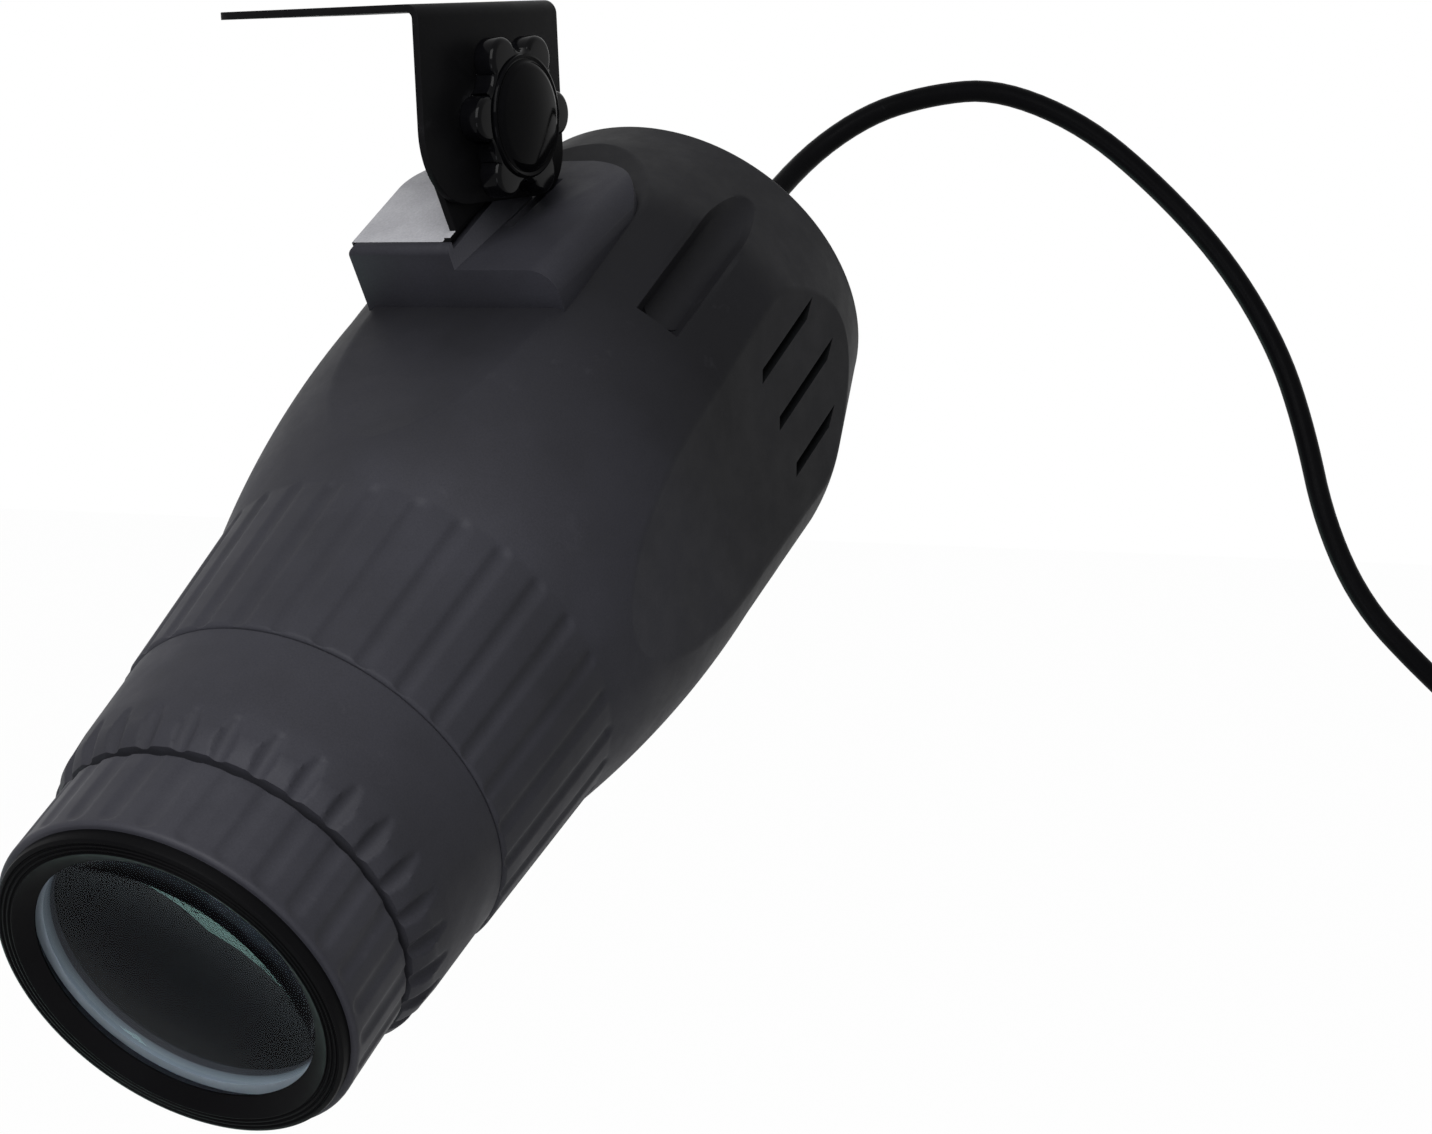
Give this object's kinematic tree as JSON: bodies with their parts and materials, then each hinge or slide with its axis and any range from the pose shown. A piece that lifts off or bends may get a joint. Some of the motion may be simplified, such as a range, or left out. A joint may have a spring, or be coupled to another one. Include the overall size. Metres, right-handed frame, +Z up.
{
  "type": "ceiling pinspot light",
  "caption": "Narrow-beam spotlight on a bent steel ceiling bracket; tilts on a star-knob clamp, focuses by a rotating front ring, with a coiled mains lead.",
  "frame": {"origin": "centre of the bracket plate's top face, where it meets the ceiling", "axes": "+Z up towards the ceiling, +X along the tilt axis towards the star knob, the lens faces -Y and down"},
  "size_m": [0.2821, 0.3999, 0.394],
  "materials": {
    "shell": "moulded, fine satin texture",
    "saddle": "moulded, satin",
    "ring": "moulded, satin",
    "bezel": "matt black",
    "bracket_steel": "black powder coat",
    "ear_steel": "grainy grey powder coat",
    "fasteners": "zinc plated",
    "black_screws": "black oxide",
    "friction_pad": "natural nylon",
    "knob": "polished black",
    "knob_brass": "turned",
    "lens_glass": "coated",
    "inner_glass": "polished",
    "inner_black": "matt black",
    "gate": "black anodised",
    "reflector": "metallised",
    "light_board": "white solder mask on metal core",
    "emitter": "phosphor under silicone",
    "sink": "extruded, plain",
    "fan": "moulded",
    "board": "green solder mask",
    "standoffs": "natural nylon",
    "transformer": "taped winding on a ferrite core",
    "capacitors": "heat-shrink sleeve",
    "terminal": "moulded",
    "chips": "moulded",
    "gland": "moulded nylon",
    "relief": "moulded",
    "cord": "smooth sheath",
    "tie": "moulded nylon",
    "plug": "moulded",
    "pins": "nickel plated"
  },
  "bodies": {
    "ceiling_bracket": {"ceiling_bracket": "bracket_steel"},
    "lamp_head": {"main_housing": "shell", "front_barrel": "shell", "rear_cover": "shell", "cover_screws": "black_screws", "bracket_saddle": "saddle", "saddle_screws": "fasteners", "foot_screws": "fasteners", "ear_bracket": "ear_steel", "pivot_bolt": "fasteners", "friction_washer": "friction_pad", "optic_mount": "inner_black", "gate_ring": "inner_black", "beam_gate": "gate", "condenser_lens": "inner_glass", "reflector": "reflector", "led_board": "light_board", "led_emitter": "emitter", "optic_screws": "fasteners", "heat_sink": "sink", "heat_sink_screws": "fasteners", "fan_frame": "fan", "fan_screws": "fasteners", "driver_board": "board", "board_standoffs": "standoffs", "transformer": "transformer", "capacitors": "capacitors", "terminal_block": "terminal", "driver_chips": "chips", "cable_gland": "gland", "gland_locknut": "gland", "strain_relief": "relief", "cord_lead": "cord", "cord_coil": "cord", "coil_tie": "tie", "plug_boot": "relief", "plug_body": "plug", "plug_pins": "pins"},
    "knob_carrier": {"clamp_washer": "fasteners"},
    "knob": {"star_knob": "knob", "knob_insert": "knob_brass", "knob_cap": "knob"},
    "lens_carrier": {"lens_tube": "inner_black", "field_lens": "inner_glass", "field_lens_ring": "inner_black"},
    "focus_head": {"focus_ring": "ring", "front_bezel": "bezel", "objective_lens": "lens_glass", "lens_retainer": "inner_black"},
    "fan_rotor": {"fan_rotor": "fan"}
  },
  "joints": [
    {"name": "tilt", "type": "hinge", "parent": "ceiling_bracket", "child": "lamp_head", "pos_m": [0.0221, 0, -0.024], "axis": [1, 0, 0], "range_deg": [-46, 22]},
    {"name": "knob_travel", "type": "slide", "parent": "lamp_head", "child": "knob_carrier", "axis": [1, 0, 0], "range_m": [0, 0.001]},
    {"name": "knob_turn", "type": "hinge", "parent": "knob_carrier", "child": "knob", "pos_m": [0.03, 0, -0.024], "axis": [1, 0, 0], "range_deg": [0, 360]},
    {"name": "focus_travel", "type": "slide", "parent": "lamp_head", "child": "lens_carrier", "axis": [0, -0.8813, -0.4726], "range_m": [0, 0.0045]},
    {"name": "focus_turn", "type": "hinge", "parent": "lens_carrier", "child": "focus_head", "pos_m": [0.0221, -0.11484, -0.17465], "axis": [0, -0.8813, -0.4726], "range_deg": [0, 270]},
    {"name": "fan_spin", "type": "hinge", "parent": "lamp_head", "child": "fan_rotor", "pos_m": [0.0221, 0.03498, -0.09432], "axis": [0, 0.8813, 0.4726], "continuous": true}
  ],
  "couplings": [
    {"joint": "knob_travel", "follows": "knob_turn", "m_per_rad": 0.00015915},
    {"joint": "focus_travel", "follows": "focus_turn", "m_per_rad": 0.00095493}
  ]
}
